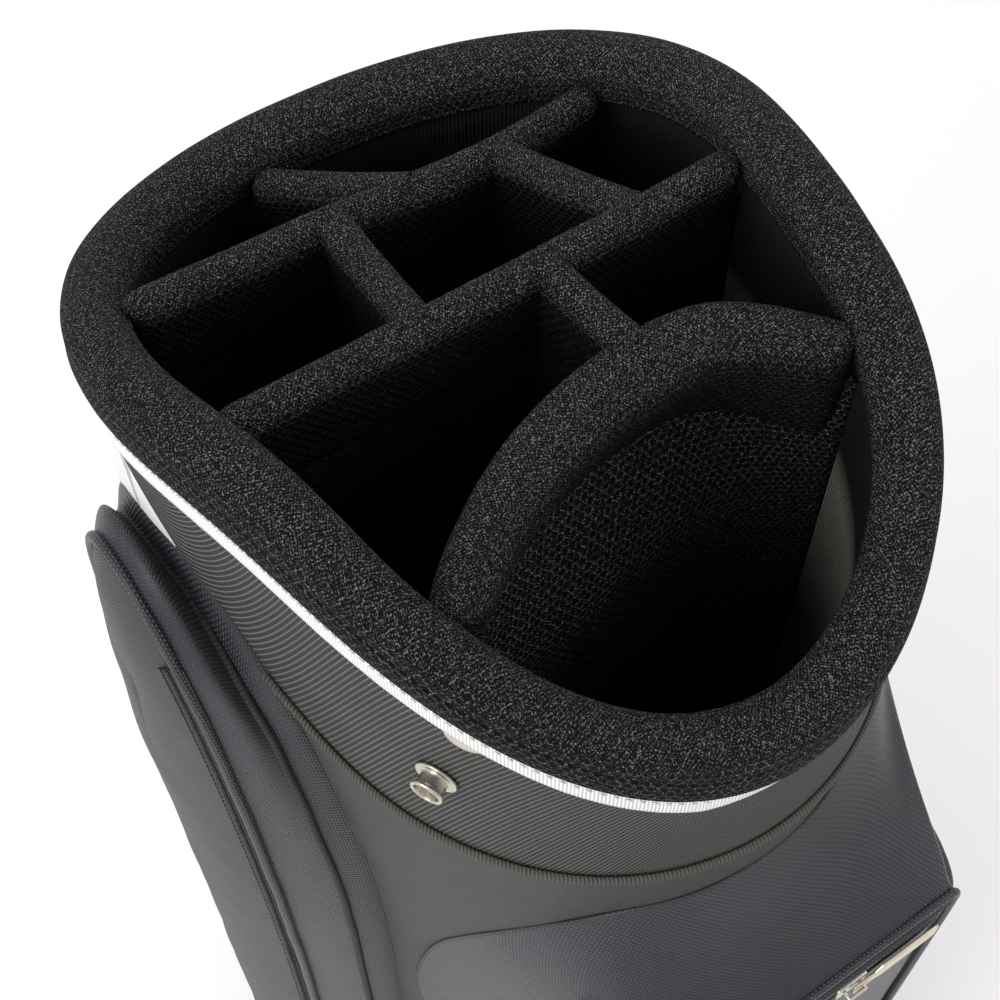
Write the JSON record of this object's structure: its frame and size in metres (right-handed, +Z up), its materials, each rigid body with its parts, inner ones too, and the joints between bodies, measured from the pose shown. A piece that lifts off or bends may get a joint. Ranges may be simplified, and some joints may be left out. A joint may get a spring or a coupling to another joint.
{
  "type": "golf staff bag",
  "caption": "Tall golf bag with a padded mesh rim, full-length club dividers, zipped pockets, snap studs, carry handle and shoulder strap.",
  "frame": {"origin": "centre of the flat underside of the base pad", "axes": "+Z up along the tube, -Y towards the ball pocket, +X towards the right-hand side pocket"},
  "size_m": [0.292, 0.4272, 0.8824],
  "materials": {
    "air_mesh": "knitted spacer mesh, matt",
    "moulded_plastic": "fine moulded grain",
    "ribbed_nylon": "coarse ribbed nylon",
    "white_trim": "white grosgrain",
    "nickel": "warm polished nickel",
    "champagne_metal": "satin champagne plate",
    "body_cloth": "dot weave oxford nylon",
    "white_cloth": "smooth coated white cloth",
    "foam": "closed-cell foam sheet",
    "lining_cloth": "thin woven lining",
    "base_rubber": "ribbed rubber",
    "pocket_cloth": "satin dot weave nylon",
    "zip_coil": "nylon coil on woven tape",
    "webbing": "woven polyester webbing"
  },
  "bodies": {
    "bag": {"rim_pad": "air_mesh", "rear_divider_bar": "air_mesh", "middle_divider_bar": "air_mesh", "arch_divider_bar": "air_mesh", "left_cross_divider_bar": "air_mesh", "right_cross_divider_bar": "air_mesh", "front_cross_divider_bar": "air_mesh", "back_cross_divider_bar": "air_mesh", "cuff_frame": "moulded_plastic", "left_stay": "moulded_plastic", "right_stay": "moulded_plastic", "base_tray": "moulded_plastic", "collar_band": "ribbed_nylon", "collar_piping": "ribbed_nylon", "trim_tape": "white_trim", "press_stud_left": "nickel", "press_stud_right": "nickel", "upper_ring": "nickel", "lower_ring": "nickel", "front_body_panel": "body_cloth", "spine_panel": "body_cloth", "rear_left_panel": "white_cloth", "rear_right_panel": "white_cloth", "tube_foam": "foam", "inner_lining": "lining_cloth", "rear_divider_panel": "lining_cloth", "middle_divider_panel": "lining_cloth", "arch_divider_panel": "lining_cloth", "left_cross_divider_panel": "lining_cloth", "right_cross_divider_panel": "lining_cloth", "front_cross_divider_panel": "lining_cloth", "back_cross_divider_panel": "lining_cloth", "base_pad": "base_rubber", "upper_pocket_top": "pocket_cloth", "upper_pocket_face": "pocket_cloth", "ball_pocket_gusset": "pocket_cloth", "ball_pocket_face": "pocket_cloth", "left_pocket_gusset": "pocket_cloth", "left_pocket_face": "pocket_cloth", "right_pocket_gusset": "pocket_cloth", "right_pocket_face": "pocket_cloth", "upper_pocket_zip": "zip_coil", "ball_pocket_zip": "zip_coil", "left_pocket_zip": "zip_coil", "right_pocket_zip": "zip_coil", "carry_handle": "webbing", "upper_strap_tab": "webbing", "lower_strap_tab": "webbing"},
    "upper_pocket_slider": {"upper_pocket_slider": "nickel"},
    "upper_pocket_puller": {"upper_pocket_puller": "champagne_metal"},
    "ball_pocket_slider": {"ball_pocket_slider": "nickel"},
    "ball_pocket_puller": {"ball_pocket_puller": "champagne_metal"},
    "left_pocket_slider": {"left_pocket_slider": "nickel"},
    "left_pocket_puller": {"left_pocket_puller": "champagne_metal"},
    "right_pocket_slider": {"right_pocket_slider": "nickel"},
    "right_pocket_puller": {"right_pocket_puller": "champagne_metal"},
    "shoulder_strap": {"shoulder_strap": "webbing", "strap_pad": "air_mesh", "upper_strap_hook": "nickel", "lower_strap_hook": "nickel"}
  },
  "joints": [
    {"name": "left_pocket_zip_slide", "type": "slide", "parent": "bag", "child": "left_pocket_slider", "axis": [0, 0, 1], "range_m": [-0.12, 0.195]},
    {"name": "left_pocket_puller_hinge", "type": "hinge", "parent": "left_pocket_slider", "child": "left_pocket_puller", "pos_m": [-0.13881, -0.04239, 0.33], "axis": [-0.5671, 0.8236, 0], "range_deg": [0, 170]},
    {"name": "right_pocket_zip_slide", "type": "slide", "parent": "bag", "child": "right_pocket_slider", "axis": [0, 0, 1], "range_m": [-0.12, 0.195]},
    {"name": "right_pocket_puller_hinge", "type": "hinge", "parent": "right_pocket_slider", "child": "right_pocket_puller", "pos_m": [0.13881, -0.04239, 0.33], "axis": [-0.5671, -0.8236, 0], "range_deg": [0, 170]},
    {"name": "ball_pocket_zip_slide", "type": "slide", "parent": "bag", "child": "ball_pocket_slider", "axis": [0, 0, 1], "range_m": [-0.13, 0.07]},
    {"name": "ball_pocket_puller_hinge", "type": "hinge", "parent": "ball_pocket_slider", "child": "ball_pocket_puller", "pos_m": [-0.09105, -0.178, 0.3], "axis": [0, 1, 0], "range_deg": [0, 170]},
    {"name": "upper_pocket_zip_slide", "type": "slide", "parent": "bag", "child": "upper_pocket_slider", "axis": [1, 0, 0], "range_m": [-0.058, 0.026]},
    {"name": "upper_pocket_puller_hinge", "type": "hinge", "parent": "upper_pocket_slider", "child": "upper_pocket_puller", "pos_m": [0.014, -0.19185, 0.646], "axis": [0, 0, -1], "range_deg": [0, 170]},
    {"name": "strap_swing", "type": "hinge", "parent": "bag", "child": "shoulder_strap", "pos_m": [0, 0.1452, 0.5], "axis": [0, 0, 1], "range_deg": [-40, 40]}
  ]
}
